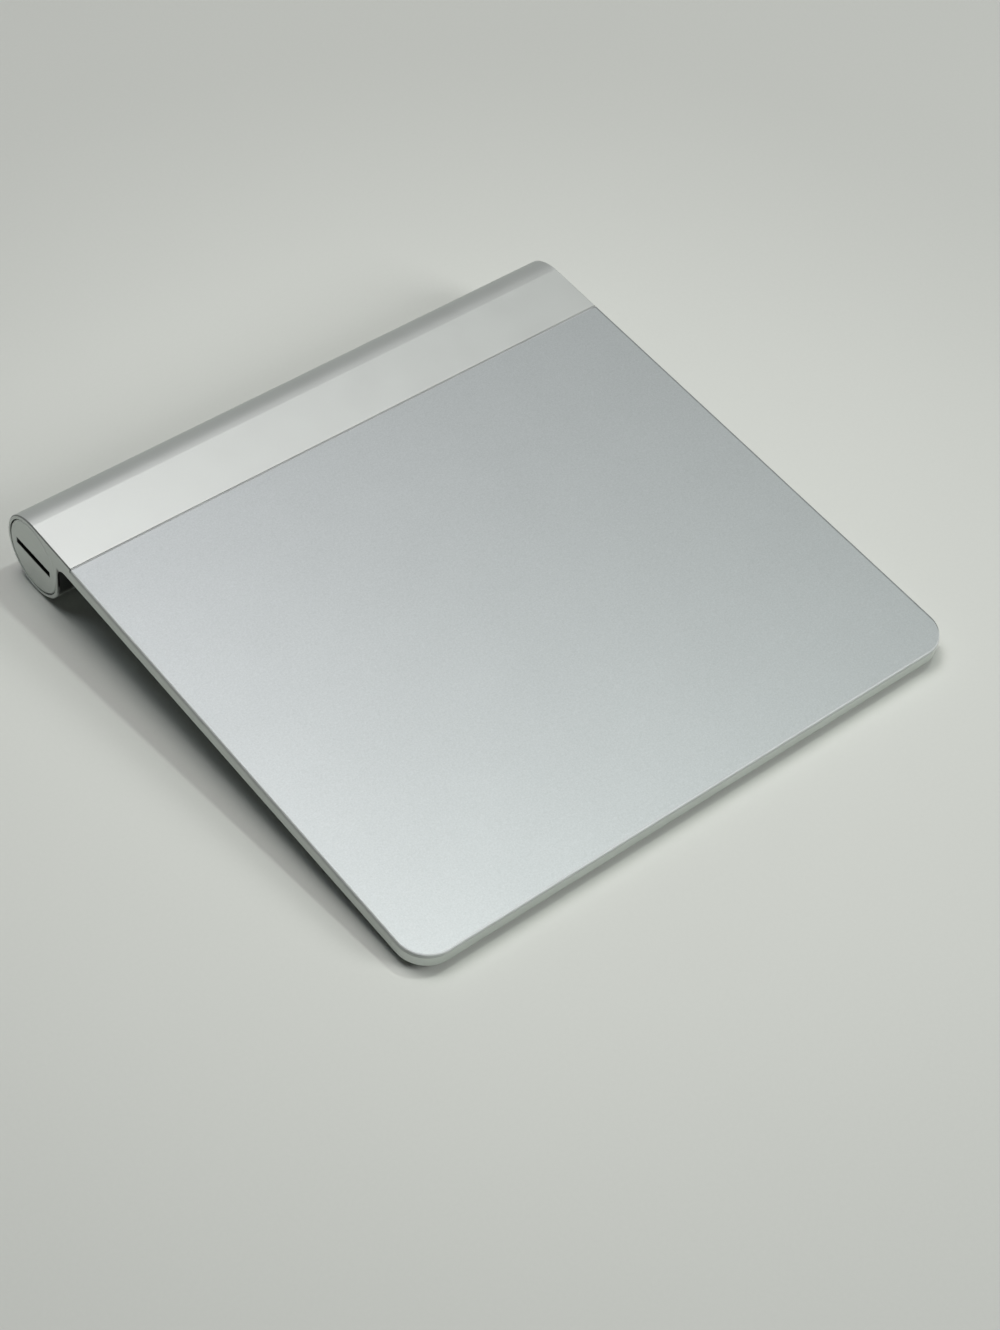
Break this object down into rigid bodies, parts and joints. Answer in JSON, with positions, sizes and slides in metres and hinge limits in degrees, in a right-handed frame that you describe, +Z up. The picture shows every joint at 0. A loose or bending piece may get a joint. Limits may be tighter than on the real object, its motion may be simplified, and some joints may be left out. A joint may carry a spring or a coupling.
{
  "type": "wireless trackpad",
  "caption": "Flat square wireless trackpad: glass touch face on a thin aluminium plate, raised at the back by a battery tube with a coin-slotted door and a power button.",
  "frame": {"origin": "on the desk, under the middle of the bounding box", "axes": "+X to the user's right, +Y away from the user to the battery tube, +Z up from the desk"},
  "size_m": [0.131, 0.1308, 0.0182],
  "materials": {
    "anodised_aluminium": "bead-blasted and clear anodised",
    "touch_glass": "etched glass, opaque with a silver-grey coating behind it",
    "adhesive_film": "thin bonding film",
    "circuit_board": "solder mask",
    "chip_epoxy": "moulded epoxy",
    "switch_plastic": "moulded",
    "connector_plastic": "moulded",
    "ribbon_film": "amber film over copper",
    "steel": "stamped stainless",
    "cell_wrap": "plain sleeve with no print over the cell's can",
    "contact_brass": "plated spring contact",
    "carrier_plastic": "moulded",
    "foot_rubber": "soft elastomer"
  },
  "bodies": {
    "pad_body": {"aluminium_body": "anodised_aluminium", "touch_glass": "touch_glass", "glass_adhesive": "adhesive_film", "touch_sensor_board": "circuit_board", "logic_board": "circuit_board", "board_chips": "chip_epoxy", "board_shield": "steel", "ribbon_connectors": "connector_plastic", "sensor_ribbon": "ribbon_film", "power_ribbon": "ribbon_film", "click_ribbon": "ribbon_film", "board_screws": "steel", "battery_cell_1": "cell_wrap", "battery_cell_2": "cell_wrap", "contact_carrier": "carrier_plastic", "positive_contact": "contact_brass", "switch_holder": "carrier_plastic", "power_board": "circuit_board", "power_switch": "switch_plastic", "end_cap": "anodised_aluminium", "hinge_bracket_left": "steel", "hinge_bracket_right": "steel", "hinge_pin_left": "steel", "hinge_pin_right": "steel", "bracket_screws": "steel", "click_board": "circuit_board", "click_switch_base": "switch_plastic", "click_dome": "steel", "rear_foot_left": "foot_rubber", "rear_foot_right": "foot_rubber"},
    "door_contact": {"door_contact_plate": "contact_brass", "door_contact_spring": "contact_brass"},
    "battery_door": {"battery_door": "anodised_aluminium"},
    "power_button": {"power_button": "anodised_aluminium", "switch_plunger": "switch_plastic"},
    "click_lever_left": {"click_arm_left": "steel", "front_foot_left": "foot_rubber"},
    "click_lever_right": {"click_arm_right": "steel", "front_foot_right": "foot_rubber"}
  },
  "joints": [
    {"name": "door_travel", "type": "slide", "parent": "pad_body", "child": "door_contact", "axis": [-1, 0, 0], "range_m": [0, 0.005]},
    {"name": "door_turn", "type": "hinge", "parent": "door_contact", "child": "battery_door", "pos_m": [-0.06545, 0.05643, 0.0093], "axis": [-1, 0, 0], "range_deg": [0, 1440]},
    {"name": "power_press", "type": "slide", "parent": "pad_body", "child": "power_button", "axis": [-1, 0, 0], "range_m": [0, 0.0004], "stiffness_N_per_m": 800, "springref_m": -0.001},
    {"name": "click_left", "type": "hinge", "parent": "pad_body", "child": "click_lever_left", "pos_m": [-0.02395, -0.05524, 0.00379], "axis": [0, 0.9939, 0.1103], "range_deg": [0, 0.95], "stiffness_Nm_per_rad": 1.5, "springref_deg": -0.76, "deforming": ["click_dome"]},
    {"name": "click_right", "type": "hinge", "parent": "pad_body", "child": "click_lever_right", "pos_m": [0.02395, -0.05524, 0.00379], "axis": [0, -0.9939, -0.1103], "range_deg": [0, 0.95], "stiffness_Nm_per_rad": 1.5, "springref_deg": -0.76, "deforming": ["click_dome"]}
  ],
  "couplings": [
    {"joint": "door_turn", "follows": "door_travel", "rad_per_m": 5026.5}
  ]
}
